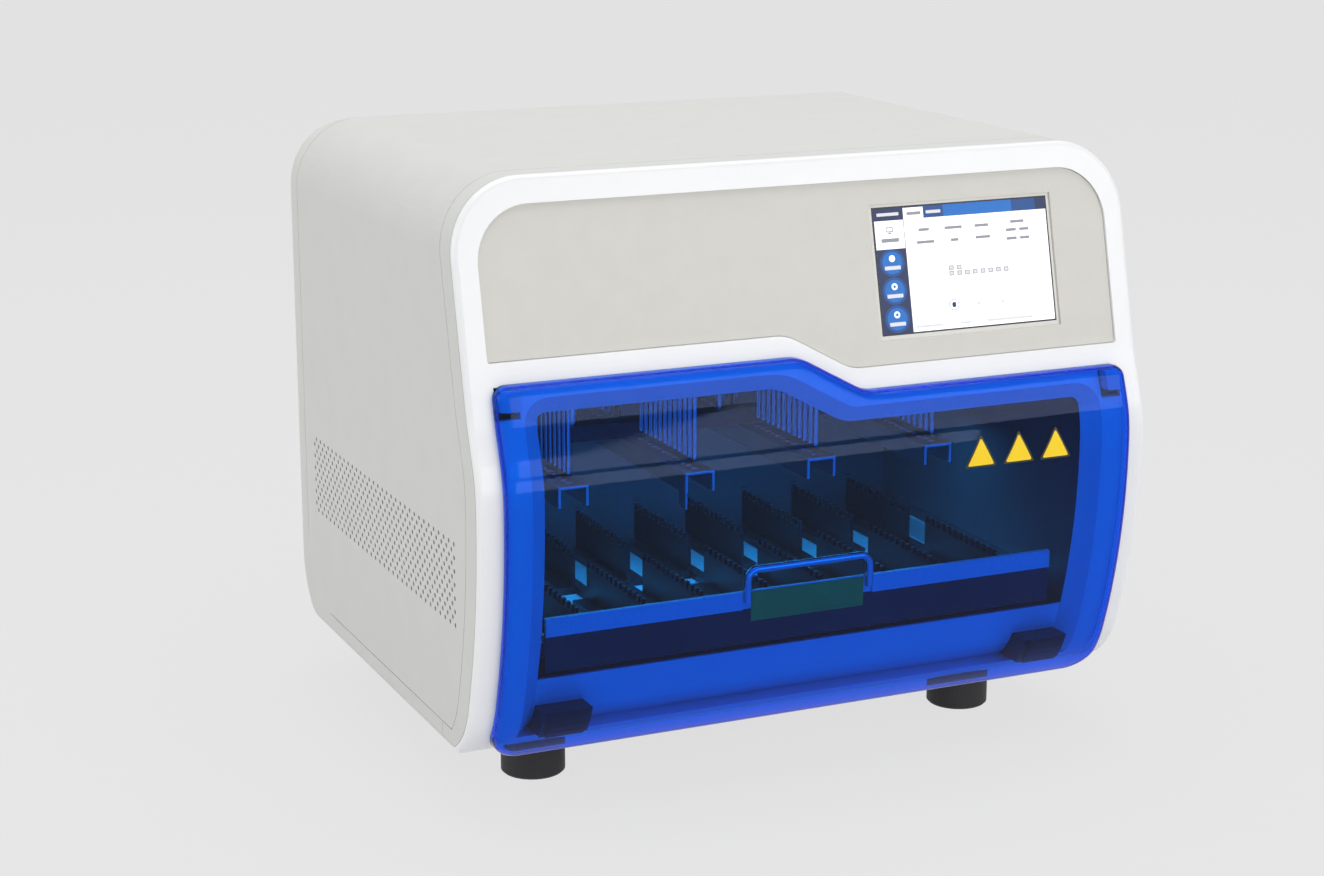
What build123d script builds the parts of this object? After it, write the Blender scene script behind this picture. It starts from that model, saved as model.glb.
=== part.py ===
from build123d import *
import os
from math import atan, cos, degrees, hypot, radians, sin, sqrt, tan

os.makedirs("parts", exist_ok=True)

# Bench-top nucleic acid extractor. Millimetres, +Z up, +X to the operator's right, -Y to the front.
# While the pieces are made, y = 0 is the most forward line of the body's belly and z = 0 is the bench.
# Every piece is moved at the end so that the origin lies under the middle of the machine.

# ---------------------------------------------------------------- casing
body_width = 555.0
body_height = 427.5
body_depth = 436.0
foot_height = 47.5
foot_radius = 25.0
foot_inset = 87.5
foot_front_y = 122.0
foot_rear_space = 86.0
foot_screw_radius = 3.0

face_setback = 56.0        # how far the top front edge stands behind the belly
kick_height = 309.0        # where the leaning face turns forward to the belly
kick_depth = 16.3
belly_top = 264.0
belly_bottom = 240.0
belly_radius = 471.0       # the long curve from the belly back to the toe
kick_blend = 150.0
belly_blend = 90.0
toe_radius = 65.0
heel_radius = 55.0
back_radius = 20.0
shoulder_radius = 56.0     # top corners seen from the front
skirt_radius = 10.0        # bottom corners seen from the front

moulding_wall = 3.0
sheet_wall = 1.5
bezel_proud = 5.0          # the bezel stands in front of the body by its whole thickness
bezel_round = 4.0
bezel_heel = 58.0          # the bezel runs under the toe to this depth
seam = 0.6
shadow_gap = 0.8           # groove between the bezel and the frame, as deep as half the frame's wall
ring_width = 22.0          # side of the front frame, from the bezel to the cover
ring_heel = 81.0
rear_ring = 18.0
skirt_height = 19.5
flange_width = 17.4
prism_step = 0.05          # keeps the faces of two prisms from lying in one plane

# ---------------------------------------------------------------- control panel and display
panel_border = 18.0        # from the side of the body to the panel
panel_top = 455.6
panel_low_left = 348.5
step_drop = 28.4           # the panel, the door and the opening all step down to the right
step_angle = 29.0
step_x = 6.5               # middle of the door's step
step_radius = 34.0
panel_step_shift = -5.5
opening_step_shift = -13.8
panel_radius = 41.0
panel_recess = 2.2
panel_wall = 1.6
panel_ledge = 6.0
panel_gap = 0.4
screen_left = 57.7
screen_width = 150.8
screen_low = 341.4
screen_rise = 91.6
screen_border = 4.0
glass_lap = 4.0
glass_thick = 1.5
display_thick = 11.0

# ---------------------------------------------------------------- door
door_border = 18.5
door_top_left = 333.7
door_proud = 12.0          # in front of the bezel
door_gap = 0.6
door_wall = 3.0
door_toe_y = 49.5          # the door ends on the toe here, cut square to the surface
door_toe_z = 56.0
door_low = 48.0
door_round = 9.0
door_corner = 24.0
door_top_corner = 10.0
recess_depth = 11.0
recess_low = 63.0
recess_lip = 16.0
recess_bevel = 13.0        # width of the bevel that runs round the recess
bevel_edge = 0.6           # what the bevel leaves of the recess wall
door_lap = 35.0            # the door covers this much of the bezel at each side of the opening
opening_top_left = 309.5
opening_low = 109.0
opening_radius = 7.0

hinge_y = 38.0
hinge_z = 353.0
pin_radius = 3.0
running_gap = 0.05
hub_radius = 6.0
arm_inset = 29.5           # from the side of the body to the middle of a hinge arm
arm_reach = 7.0            # the arms end this far in front of the bezel
arm_thick = 6.0
arm_web = 6.0
block_height = 14.0
block_width = 15.0
block_drop = 10.7          # from the door's top edge to the middle of the hinge block
door_swing = 85.0
slot_gap = 1.5
slot_drop = 14.0
slot_rise = 9.0
ear_wall = 4.0

catch_inset = 20.0
catch_width = 38.0
catch_low = 65.0
catch_height = 22.0
catch_gap = 0.6
strike_thick = 1.5

# ---------------------------------------------------------------- chassis and chamber
base_wall = 2.0
base_front = 94.0
plate_inset = 44.5         # from the side of the body to the inner face of a side plate
plate_wall = 3.0
plate_top = 400.0
plate_rear_space = 103.0   # from the rear edge of the side plates to the rear face
plate_setback = 14.0
liner_wall = 1.5
liner_top = 340.0
floor_top = 98.0

# ---------------------------------------------------------------- tray, racks and heaters
module_count = 4
module_pitch = 102.0
well_pitch = 9.0
wells_in_strip = 8
strips_in_bank = 12
bank_front = 54.0
bank_gap = 31.0
tray_low = 111.0
tray_wall = 2.0
tray_side_space = 28.0
tray_front_lap = 10.0
tray_front_y = 31.0
tray_margin = 5.0
tray_lip = 19.0
rack_wall = 3.0
rack_top = 150.0
rack_foot_width = 12.0
rack_foot_height = 6.0
notch_width = 5.0
notch_depth = 5.0
heater_width = 8.0
heater_height = 6.0
tray_front_top = 153.0
handle_half = 55.0
handle_rise = 20.0
handle_rod = 3.0
label_height = 24.0
label_thick = 0.8
slide_height = 12.0
slide_thick = 3.7
slide_gap = 0.3
slide_length = 250.0

# ---------------------------------------------------------------- moving head
head_shift = -31.5         # parked over the first well of every strip
rod_radius = 2.0
rod_tip = 252.0
rod_hole_gap = 0.6
rail_width = 24.0
rail_height = 16.0
rail_wall = 2.0
rail_low = 229.0
rail_front = 48.0
rail_back = 308.0
beam_width = 20.0
beam_height = 12.0
magnet_plate_low = 326.0
magnet_plate_wall = 6.0
head_half = 168.0          # half the width of the plates of the head
carriage_low = 345.0
carriage_wall = 6.0
carriage_front = 50.0
carriage_back = 322.0
shaft_radius = 6.0
shaft_z = 363.0
front_shaft_y = 66.0
rear_shaft_y = 305.0
bearing_offset = 140.0
bearing_length = 30.0
bearing_width = 30.0
bearing_height = 24.0
screw_y = 270.0
x_screw_radius = 4.0
nut_width = 26.0
shaft_block = 18.0
motor_size = 42.0
x_motor_length = 34.0
z_motor_length = 38.0
lift_screw_radius = 3.0
sleeve_travel = 64.0
magnet_travel = 65.0
guide_radius = 5.0
guide_offset = 102.0
bush_radius = 9.0
sleeve_motor_x = -30.0
magnet_motor_x = 26.0
motor_hole_gap = 2.0

# ---------------------------------------------------------------- lamp, fan and rear fittings
lamp_radius = 7.5
lamp_y = 40.0
lamp_z = 321.0
lamp_holder = 14.0
lamp_holder_length = 16.5
rear_border = 37.5
rear_opening_low = 90.0
rear_opening_top = 440.0
rear_panel_lap = 14.0
rear_panel_gap = 0.4
rear_panel_wall = 2.0
rear_corner = 8.0
screw_shank = 1.5
screw_inset = 7.0
fan_inset = 90.0
fan_z = 230.0
fan_size = 60.0
fan_thick = 25.0
fan_hole = 27.0
fan_blades = 7
hub_of_fan = 12.0
inlet_inset = 50.0
inlet_z = 125.0
switch_pitch = 40.0
rocker_pin = 1.0
rocker_depth = 3.0
ports_x = -20.0
screw_head = 3.5
supply_gap = 8.0
supply_width = 160.0
supply_height = 50.0
supply_depth = 45.0
board_left = -60.0
board_right = 110.0
board_low = 130.0
board_high = 320.0
board_wall = 1.6
board_gap = 8.0
board_inset = 10.0
guard_wire = 1.6
guard_pitch = 7.0
block_half = 14.0          # half the length and height of the blocks that hold the cross shafts
adhesive = 0.3

# ---------------------------------------------------------------- values that follow
floor_z = foot_height
top_z = foot_height + body_height
base_top = floor_z + moulding_wall + prism_step + base_wall
half_width = body_width / 2
panel_half = half_width - panel_border
door_half = half_width - door_border
opening_half = door_half - door_lap
catch_x = opening_half - catch_inset
arm_x = half_width - arm_inset
plate_inner = half_width - plate_inset
plate_back = body_depth - plate_rear_space
tray_half = plate_inner - tray_side_space
tray_front_half = tray_half + tray_front_lap
foot_x = half_width - foot_inset
foot_rear_y = body_depth - foot_rear_space
lamp_half = plate_inner - liner_wall - lamp_holder_length
rear_opening_half = half_width - rear_border
fan_x = rear_opening_half - fan_inset
inlet_x = inlet_inset - rear_opening_half
switch_x = inlet_x + switch_pitch
opening_top_right = opening_top_left - step_drop
face_lean = degrees(atan((face_setback - kick_depth) / (top_z - kick_height)))
bank_length = strips_in_bank * well_pitch
bank_starts = [bank_front, bank_front + bank_length + bank_gap]
tray_back = bank_starts[1] + bank_length + tray_margin
module_xs = [(i - (module_count - 1) / 2) * module_pitch for i in range(module_count)]
head_xs = [x + head_shift for x in module_xs]
rack_offset = (wells_in_strip / 2 - 1) * well_pitch
end_well = (wells_in_strip - 1) / 2 * well_pitch
rod_ys = [y + (i + 0.5) * well_pitch for y in bank_starts for i in range(strips_in_bank)]
beam_y = bank_front + bank_length + bank_gap / 2
origin_y = (body_depth - bezel_proud - door_proud) / 2
LONG = 2000.0


# ---------------------------------------------------------------- helpers
def block(x0, x1, y0, y1, z0, z1):
    """A block between two corners."""
    return Pos((x0 + x1) / 2, (y0 + y1) / 2, (z0 + z1) / 2) * Box(x1 - x0, y1 - y0, z1 - z0)


def rod_x(y, z, radius, x0, x1):
    return Pos((x0 + x1) / 2, y, z) * Rot(0, 90, 0) * Cylinder(radius, x1 - x0)


def rod_y(x, z, radius, y0, y1):
    return Pos(x, (y0 + y1) / 2, z) * Rot(90, 0, 0) * Cylinder(radius, y1 - y0)


def rod_z(x, y, radius, z0, z1):
    return Pos(x, y, (z0 + z1) / 2) * Cylinder(radius, z1 - z0)


def face_y(z):
    """Depth of the front profile at a height, before its blends."""
    if z > kick_height:
        return kick_depth + (z - kick_height) * tan(radians(face_lean))
    if z > belly_top:
        return kick_depth * (z - belly_top) / (kick_height - belly_top)
    if z > belly_bottom:
        return 0.0
    return belly_radius - sqrt(belly_radius ** 2 - (belly_bottom - z) ** 2)


def corner(sketch, y, z):
    """The vertex of a flat sketch that lies nearest to a point."""
    return min(sketch.vertices(), key=lambda v: hypot(v.X - y, v.Y - z))


def side_sketch(grow=0.0):
    """Side view of the body: y to the right, z up, moved out by grow all round."""
    mid_z = (belly_bottom + floor_z) / 2
    toe_y = face_y(floor_z)
    edges = [
        Line((face_setback, top_z), (kick_depth, kick_height)),
        Line((kick_depth, kick_height), (0, belly_top)),
        Line((0, belly_top), (0, belly_bottom)),
        ThreePointArc((0, belly_bottom), (face_y(mid_z), mid_z), (toe_y, floor_z)),
        Line((toe_y, floor_z), (body_depth, floor_z)),
        Line((body_depth, floor_z), (body_depth, top_z)),
        Line((body_depth, top_z), (face_setback, top_z)),
    ]
    sketch = make_face(Wire(edges))
    blends = [
        (kick_depth, kick_height, kick_blend),
        (0, belly_top, belly_blend),
        (toe_y, floor_z, toe_radius),
        (body_depth, floor_z, heel_radius),
        (body_depth, top_z, back_radius),
    ]
    for y, z, radius in blends:
        sketch = fillet(corner(sketch, y, z), radius)
    return offset(sketch, grow) if grow else sketch


def along_x(sketch, half=half_width):
    """A side view made into a solid across the machine."""
    return extrude(Plane.YZ * sketch, half, both=True)


def along_y(sketch, reach=LONG):
    """A front view made into a solid from front to back."""
    return extrude(Plane.XZ * sketch, reach, both=True)


def front_outline(grow=0.0):
    """Front view of the body: round shoulders and nearly square bottom corners."""
    width = body_width + 2 * grow
    sketch = Pos(0, (floor_z + top_z) / 2) * Rectangle(width, body_height + 2 * grow)
    for side in (-1, 1):
        x = side * width / 2
        sketch = fillet(corner(sketch, x, top_z + grow), shoulder_radius + grow)
        sketch = fillet(corner(sketch, x, floor_z - grow), max(skirt_radius + grow, 1.0))
    return sketch


def stepped_outline(half, low, top_left, step_mid, top_radius, low_radius, grow=0.0):
    """Front view of a field whose top edge steps down to the right."""
    run = step_drop / tan(radians(step_angle)) / 2
    top_right = top_left - step_drop
    points = [(-half, low), (-half, top_left), (step_mid - run, top_left),
              (step_mid + run, top_right), (half, top_right), (half, low)]
    return rounded_field(points, [low_radius, top_radius, step_radius, step_radius,
                                  top_radius, low_radius], grow)


def rounded_field(points, radii, grow):
    sketch = make_face(Polyline(*points, close=True))
    for (x, z), radius in zip(points, radii):
        sketch = fillet(corner(sketch, x, z), radius)
    return offset(sketch, grow) if grow else sketch


def panel_outline(grow=0.0):
    """Control panel: its bottom edge has the same step as the door below it."""
    run = step_drop / tan(radians(step_angle)) / 2
    mid = step_x + panel_step_shift
    low_right = panel_low_left - step_drop
    points = [(-panel_half, panel_low_left), (-panel_half, panel_top), (panel_half, panel_top),
              (panel_half, low_right), (mid + run, low_right), (mid - run, panel_low_left)]
    return rounded_field(points, [2, panel_radius, panel_radius, 2, step_radius, step_radius], grow)


def door_outline(grow=0.0):
    return stepped_outline(door_half, door_low, door_top_left, step_x,
                           door_top_corner, door_corner, grow)


def recess_outline(grow=0.0):
    """The recess behind the door: the chamber opening with the sill below it."""
    return stepped_outline(opening_half, 0, opening_top_left, step_x + opening_step_shift,
                           opening_radius, opening_radius, grow)


def screen_outline(grow=0.0):
    middle = Pos(screen_left + screen_width / 2, screen_low + screen_rise / 2)
    return middle * Rectangle(screen_width + 2 * grow, screen_rise + 2 * grow)


# Slabs of the front, measured square to its surface: positive is in front of the bezel's face.
side_views = {}


def side_view(grow):
    if grow not in side_views:
        side_views[grow] = side_sketch(grow)
    return side_views[grow]


def front_slab(outer, inner, reach_y=bezel_heel):
    """The layer between two distances from the bezel's face, on the front only."""
    layer = side_view(outer + bezel_proud) - side_view(inner + bezel_proud)
    brow = face_setback + 2 * moulding_wall
    layer -= Pos((reach_y + LONG / 2), 0) * Rectangle(LONG, LONG)
    layer -= Pos(brow + LONG / 2, top_z) * Rectangle(LONG, 2 * back_radius)
    return along_x(layer, LONG / 4)


def tube(wall):
    """The body's skin of one wall thickness, closed all round."""
    outer = along_x(side_view(0.0)) & along_y(front_outline())
    inner = along_x(side_view(-wall)) & along_y(front_outline(-wall - prism_step))
    return outer - inner


# ---------------------------------------------------------------- casing pieces
def on_rim(solid, grow, outline):
    """Edges of a solid that lie where a layer of the front meets a prism's wall."""
    side = side_view(grow + bezel_proud).wires()[0]
    front = outline.wires()[0]
    return [edge for edge in solid.edges()
            if all(near(side, p.Y, p.Z) and near(front, p.X, p.Z) for p in (edge @ 0, edge @ 0.4, edge @ 1))]


def near(wire, a, b):
    return wire.distance_to(Vector(a, b, 0)) < 0.02


def make_front_bezel():
    """White face moulding with the panel's seat, the bevelled recess behind the door and its sill."""
    face = front_slab(0, -bezel_proud) & along_y(front_outline())
    face = fillet(on_rim(face, 0, front_outline()), bezel_round)
    ring = recess_outline(recess_lip) - recess_outline()
    lip = front_slab(0, -recess_depth) & along_y(ring)
    lip = chamfer(on_rim(lip, 0, recess_outline()), recess_bevel, recess_depth - bevel_edge)
    above = block(-LONG, LONG, -LONG, LONG, recess_low, LONG)
    bezel = (face - (along_y(recess_outline(recess_lip)) & above)) + (lip & above)
    bezel -= front_slab(1, -panel_recess - panel_wall) & along_y(panel_outline())
    bezel -= along_y(panel_outline(-panel_ledge))
    half = opening_half + recess_lip - moulding_wall
    back = -recess_depth - moulding_wall
    bezel += (front_slab(-recess_depth, back)
              & block(-half, half, -LONG, LONG, recess_low - moulding_wall, opening_low))
    bezel += (front_slab(1 - bezel_proud, back)
              & block(-half, half, -LONG, LONG, recess_low - moulding_wall, recess_low))
    for side, z in hinge_heights():
        bezel -= block_at(side * arm_x, block_width + 2 * slot_gap, -LONG / 4, LONG / 4,
                          z - slot_drop, z + slot_rise)
    return bezel


def hinge_heights():
    """Side and middle height of the two hinge blocks in the door's top corners."""
    return [(-1, door_top_left - block_drop), (1, door_top_left - step_drop - block_drop)]


def block_at(x, width, y0, y1, z0, z1):
    return block(x - width / 2, x + width / 2, y0, y1, z0, z1)


def seam_side(shift):
    """Everything behind the front profile moved back by shift."""
    return Pos(shift, 0) * side_view(0.0)


def cover_side():
    """Side view of the wrap cover between the two moulded rings."""
    low = floor_z + skirt_height
    back = body_depth - rear_ring
    window = Pos(back - LONG / 2, low + LONG / 2) * Rectangle(LONG, LONG)
    return seam_side(ring_width) & window


def make_wrap_cover():
    """Painted sheet bent over the top and down both sides."""
    skin = along_y(front_outline() - front_outline(-sheet_wall))
    sides = cover_side()
    back_corner = corner(sides, body_depth - rear_ring, floor_z + skirt_height)
    sides = fillet(back_corner, heel_radius - rear_ring)
    return skin & along_x(sides)


def make_front_frame():
    """Painted frame behind the bezel: a ring of side wall with a flange that carries the bezel."""
    ring = (Pos(shadow_gap, 0) * side_view(0.0)) & side_view(0.0)
    ring -= grown_cover(seam)
    ring -= Pos(ring_heel + LONG / 2, floor_z) * Rectangle(LONG, 2 * skirt_height)
    ring -= Pos(body_depth - rear_ring + LONG / 2, top_z / 2) * Rectangle(LONG, LONG)
    frame = along_y(front_outline() - front_outline(-moulding_wall)) & along_x(ring)
    flange = (front_slab(-bezel_proud, -bezel_proud - moulding_wall, ring_heel)
              & along_y(front_outline(-moulding_wall / 2) - front_outline(-flange_width)))
    half = opening_half + recess_lip + 1
    low = recess_low - moulding_wall - seam
    return frame + (flange - block(-half, half, -LONG, LONG, low, low + recess_lip))


def grown_cover(gap):
    """The cover's side view with the seam around it, open at the top and back."""
    low = floor_z + skirt_height - gap
    window = Pos(LONG / 2, low + LONG / 2) * Rectangle(LONG, LONG)
    return seam_side(ring_width - gap) & window


def make_lower_tub():
    """Painted moulding: the rear ring, the skirts and the floor in one."""
    back = body_depth - rear_ring + seam
    low = floor_z + skirt_height - seam
    rear = side_view(0.0) & (Pos(back + LONG / 2, top_z / 2) * Rectangle(LONG, LONG))
    skirt = side_view(0.0) & (Pos(ring_heel + seam + LONG / 2, low - LONG / 2) * Rectangle(LONG, LONG))
    heel = side_view(0.0) - fillet(corner(cover_side(), body_depth - rear_ring, floor_z + skirt_height),
                                   heel_radius - rear_ring)
    heel &= Pos(back - heel_radius / 2, low + heel_radius / 2 - seam) * Rectangle(heel_radius, heel_radius)
    tub = tube(moulding_wall) & along_x(rear + skirt + heel)
    y = body_depth - moulding_wall - rear_panel_wall
    tub += along_y(rear_window(moulding_wall)) & block(-LONG, LONG, y - moulding_wall, body_depth, 0, LONG)
    tub -= along_y(rear_window()) & block(-LONG, LONG, y, LONG, 0, LONG)
    tub -= along_y(rear_window(-rear_panel_lap)) & block(-LONG, LONG, y - LONG / 8, LONG, 0, LONG)
    for x, y in feet_places():
        tub -= rod_z(x, y, foot_screw_radius, 0, LONG / 8)
    return tub - casing_screw_holes()


def rear_window(grow=0.0):
    """Opening in the rear of the tub that the rear panel fills."""
    width = 2 * (rear_opening_half + grow)
    height = rear_opening_top - rear_opening_low + 2 * grow
    middle = Pos(0, (rear_opening_low + rear_opening_top) / 2)
    return middle * RectangleRounded(width, height, max(rear_corner + grow, 1.0))


def make_base_plate():
    """Steel plate on the tub's floor that the feet, the chassis and the power supply stand on."""
    width = half_width - moulding_wall - skirt_radius
    plate = block(-width, width, base_front, body_depth - heel_radius, base_top - base_wall, base_top)
    for x, y in feet_places():
        plate -= rod_z(x, y, foot_screw_radius, 0, LONG / 8)
    return plate


def make_rear_panel():
    """Steel sheet behind the rear opening, with holes for the fan, inlet, switch and ports."""
    y = body_depth - moulding_wall
    panel = along_y(rear_window(-rear_panel_gap)) & block(-LONG, LONG, y - rear_panel_wall, y, 0, LONG)
    panel -= rod_y(fan_x, fan_z, fan_hole, y - 10, y + 10)
    panel -= block_at(inlet_x, 28.4, y - 10, y + 10, inlet_z - 10.2, inlet_z + 10.2)
    panel -= block_at(switch_x, 13.4, y - 10, y + 10, inlet_z - 9.7, inlet_z + 9.7)
    for x, width, height in port_holes():
        panel -= block_at(x, width + 0.4, y - 10, y + 10,
                          inlet_z - height / 2 - 0.2, inlet_z + height / 2 + 0.2)
    return panel - casing_screw_holes()


def port_holes():
    """Middle, width and height of the data sockets in the rear panel."""
    return [(ports_x - 22, 14.6, 7.6), (ports_x, 14.6, 7.6), (ports_x + 26, 16.4, 13.8)]


def feet_places():
    return [(x, y) for x in (-foot_x, foot_x) for y in (foot_front_y, foot_rear_y)]


def make_rubber_feet():
    foot = rod_z(0, 0, foot_radius, 0, foot_height)
    foot = chamfer(foot.edges().sort_by(Axis.Z)[0], 1.5)
    foot -= rod_z(0, 0, foot_screw_radius + 3, -1, 12)
    foot -= rod_z(0, 0, foot_screw_radius, 0, foot_height)
    return [Pos(x, y, 0) * foot for x, y in feet_places()]


def make_foot_screws():
    """Socket screws that pass up through each foot into the base plate."""
    top = base_top
    shank = rod_z(0, 0, foot_screw_radius, 8, top)
    head = rod_z(0, 0, foot_screw_radius + 2, 6, 12)
    return [Pos(x, y, 0) * (shank + head) for x, y in feet_places()]


# ---------------------------------------------------------------- panel and display pieces
def make_control_panel():
    """Beige plate set a little back in the bezel, with a window for the display."""
    panel = (front_slab(-panel_recess, -panel_recess - panel_wall) & along_y(panel_outline(-panel_gap)))
    return panel - along_y(screen_outline(screen_border))


def make_display_glass():
    """Touch glass bonded behind the panel's window."""
    face = panel_recess + panel_wall
    return front_slab(-face, -face - glass_thick) & along_y(screen_outline(screen_border + glass_lap))


def make_display_module():
    face = panel_recess + panel_wall + glass_thick
    return front_slab(-face, -face - display_thick) & along_y(screen_outline())


# ---------------------------------------------------------------- door pieces
def toe_cut(shift=0.0):
    """What lies past the door's lower end, where it is cut square to the toe."""
    return (Pos(0, door_toe_y, door_toe_z) * Rot(-45, 0, 0)
            * Pos(0, LONG / 2 - shift, 0) * Box(LONG, LONG, LONG))


def make_door_shell():
    """Tinted clear shell: a pane that follows the face, with rounded edges and a rim all round."""
    outer = (front_slab(door_proud, door_gap, LONG) & along_y(door_outline())) - toe_cut()
    outer = fillet(on_rim(outer, door_proud, door_outline()), door_round)
    return outer - door_hollow()


def door_hollow(gap=0.0):
    """The space inside the door's shell, less a clearance all round."""
    wall = door_wall + gap
    hollow = front_slab(door_proud - wall, -1, LONG) & along_y(door_outline(-wall))
    hollow -= toe_cut(wall)
    return fillet(on_rim(hollow, door_proud - wall, door_outline(-wall)), door_round - wall)


def hinge_sides():
    """Side, height of the hinge block, radius of the arm and its angle in front of straight down."""
    sides = []
    for side, z in hinge_heights():
        y = hinge_y - (face_y(z) - bezel_proud - arm_reach)
        sides.append((side, z, hypot(y, hinge_z - z), degrees(atan(y / (hinge_z - z)))))
    return sides


def make_door_hinge_blocks():
    """Blocks bonded inside the door's top corners that clamp the ends of the arms."""
    blocks = []
    space = door_hollow(adhesive)
    for side, z, radius, front in hinge_sides():
        blocks.append((space & block_at(side * arm_x, block_width, -LONG / 4, LONG / 4,
                                       z - block_height / 2, z + block_height / 2))
                      - arm(side, radius, front))
    return blocks


def arm(side, radius, front):
    """Gooseneck: an arc about the hinge pin, with a web from its inner end to the hub."""
    inner = door_swing - 12.0
    ring = Circle(radius + arm_web / 2) - Circle(radius - arm_web / 2)
    sector = make_face(Polyline(
        (0, 0), *[fan_point(a, 3 * radius) for a in (-front, -front / 3, inner / 3, inner * 2 / 3, inner)],
        close=True))
    link = Rot(0, 0, inner) * Pos(0, -radius / 2) * Rectangle(arm_web, radius)
    flat = (ring & sector) + link + Circle(hub_radius)
    flat -= Circle(pin_radius + running_gap)
    solid = extrude(Plane.YZ * flat, arm_thick / 2, both=True)
    return Pos(side * arm_x, hinge_y, hinge_z) * solid


def fan_point(angle, radius):
    """A point at an angle behind straight down."""
    return (radius * sin(radians(angle)), -radius * cos(radians(angle)))


def make_door_hinge_arms():
    return [arm(side, radius, front) for side, z, radius, front in hinge_sides()]


def make_hinge_pins():
    outer = arm_x + arm_thick / 2 + 1 + ear_wall
    inner = plate_inner + plate_wall
    return [rod_x(hinge_y, hinge_z, pin_radius, *sorted((side * inner, side * outer))) for side in (-1, 1)]


def make_hinge_brackets():
    """Cheeks on the side plates that hold the two hinge pins from both sides of the arm."""
    brackets = []
    inner = plate_inner + plate_wall
    arm_in = arm_x - arm_thick / 2 - 1
    arm_out = arm_x + arm_thick / 2 + 1
    y0 = hinge_y - 7
    y1 = hinge_y + 10
    top = hinge_z + hub_radius + 8
    for side in (-1, 1):
        cheek = span(side, inner, arm_in, y0, y1, hinge_z - 8, top)
        cheek += span(side, arm_out, arm_out + ear_wall, y0, y1, hinge_z - 8, top)
        cheek += span(side, inner, arm_out + ear_wall, y0, y1, hinge_z + hub_radius + 2, top)
        bore = sorted((side * inner, side * 2 * inner))
        brackets.append(cheek - rod_x(hinge_y, hinge_z, pin_radius, *bore))
    return brackets


def span(side, x0, x1, y0, y1, z0, z1):
    """A block given by its distances from the middle plane, on one side."""
    return block(min(side * x0, side * x1), max(side * x0, side * x1), y0, y1, z0, z1)


def catch_block(x, width):
    return block_at(x, width, -LONG / 4, LONG / 4, catch_low, catch_low + catch_height)


def make_door_strikes():
    face = door_proud - door_wall
    slab = front_slab(face, face - strike_thick)
    return [slab & catch_block(side * catch_x, catch_width - 8) for side in (-1, 1)]


def make_door_magnets():
    face = door_proud - door_wall - strike_thick - catch_gap
    slab = front_slab(face, -recess_depth)
    return [slab & catch_block(side * catch_x, catch_width) for side in (-1, 1)]


# ---------------------------------------------------------------- chassis and chamber pieces
def make_side_plates():
    low = base_top
    shape = along_x(side_view(-plate_setback))
    return [shape & span(side, plate_inner, plate_inner + plate_wall, ring_heel - LONG / 4, plate_back,
                         low, plate_top) & block(-LONG, LONG, 24, plate_back, low, plate_top)
            for side in (-1, 1)]


def make_chamber_liner():
    """Folded sheet: the left, back and right walls of the chamber."""
    outer = block(-plate_inner, plate_inner, 0, plate_back - 2, floor_top, liner_top)
    inner = block(-plate_inner + liner_wall, plate_inner - liner_wall, -10,
                  plate_back - 2 - liner_wall, 0, LONG)
    return (outer - inner) & along_x(side_view(-plate_setback))


def make_chamber_floor():
    floor = block(-plate_inner, plate_inner, 0, plate_back - 2, floor_top - 2, floor_top)
    return floor & along_x(side_view(-plate_setback))


def make_uv_lamp_tube():
    return rod_x(lamp_y, lamp_z, lamp_radius, -lamp_half, lamp_half)


def make_uv_lamp_holders():
    inner = lamp_half
    outer = plate_inner - liner_wall
    return [span(side, inner, outer, lamp_y - lamp_holder / 2, lamp_y + lamp_holder / 2,
                 lamp_z - lamp_holder / 2, lamp_z + lamp_holder / 2) for side in (-1, 1)]


# ---------------------------------------------------------------- tray pieces
def make_tray_floor():
    """Sheet floor with its two side lips turned up."""
    floor = block(-tray_half, tray_half, tray_front_y + tray_wall, tray_back, tray_low, tray_low + tray_wall)
    for side in (-1, 1):
        floor += span(side, tray_half - tray_wall, tray_half, tray_front_y + tray_wall, tray_back,
                      tray_low, tray_low + tray_lip)
    return floor


def make_tray_front():
    """Front plate with a fold that stands a little forward along its top."""
    fold = 14.0
    plate = block(-tray_front_half, tray_front_half, tray_front_y, tray_front_y + tray_wall,
                  tray_low, tray_front_top)
    plate += block(-tray_front_half, tray_front_half, tray_front_y - tray_wall, tray_front_y,
                   tray_front_top - fold, tray_front_top)
    notch = block(-handle_half - 0.3, handle_half + 0.3, tray_front_y - 5, tray_front_y,
                  tray_front_top - label_height - 5, tray_front_top + 5)
    return plate - notch


def make_tray_handle():
    """Bent rod handle that stands up from the tray's front edge."""
    x = handle_half - handle_rod
    y = tray_front_y - handle_rod
    low = tray_front_top - 8
    path = FilletPolyline((-x, y, low), (-x, y, tray_front_top + handle_rise - handle_rod),
                          (x, y, tray_front_top + handle_rise - handle_rod), (x, y, low), radius=8)
    section = Plane(origin=(-x, y, low), z_dir=(0, 0, 1)) * Circle(handle_rod)
    return sweep(section, path)


def make_label_plate():
    x = handle_half - 2 * handle_rod - 1
    return block(-x, x, tray_front_y - label_thick, tray_front_y,
                 tray_front_top - label_height, tray_front_top - 1)


def make_well_racks():
    """Toothed rails that carry the reagent strips, one pair to each module and bank."""
    racks = []
    low = tray_low + tray_wall
    for x in module_xs:
        for y in bank_starts:
            for side in (-1, 1):
                racks.append(Pos(x, y, low) * rack(side))
    return racks


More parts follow.
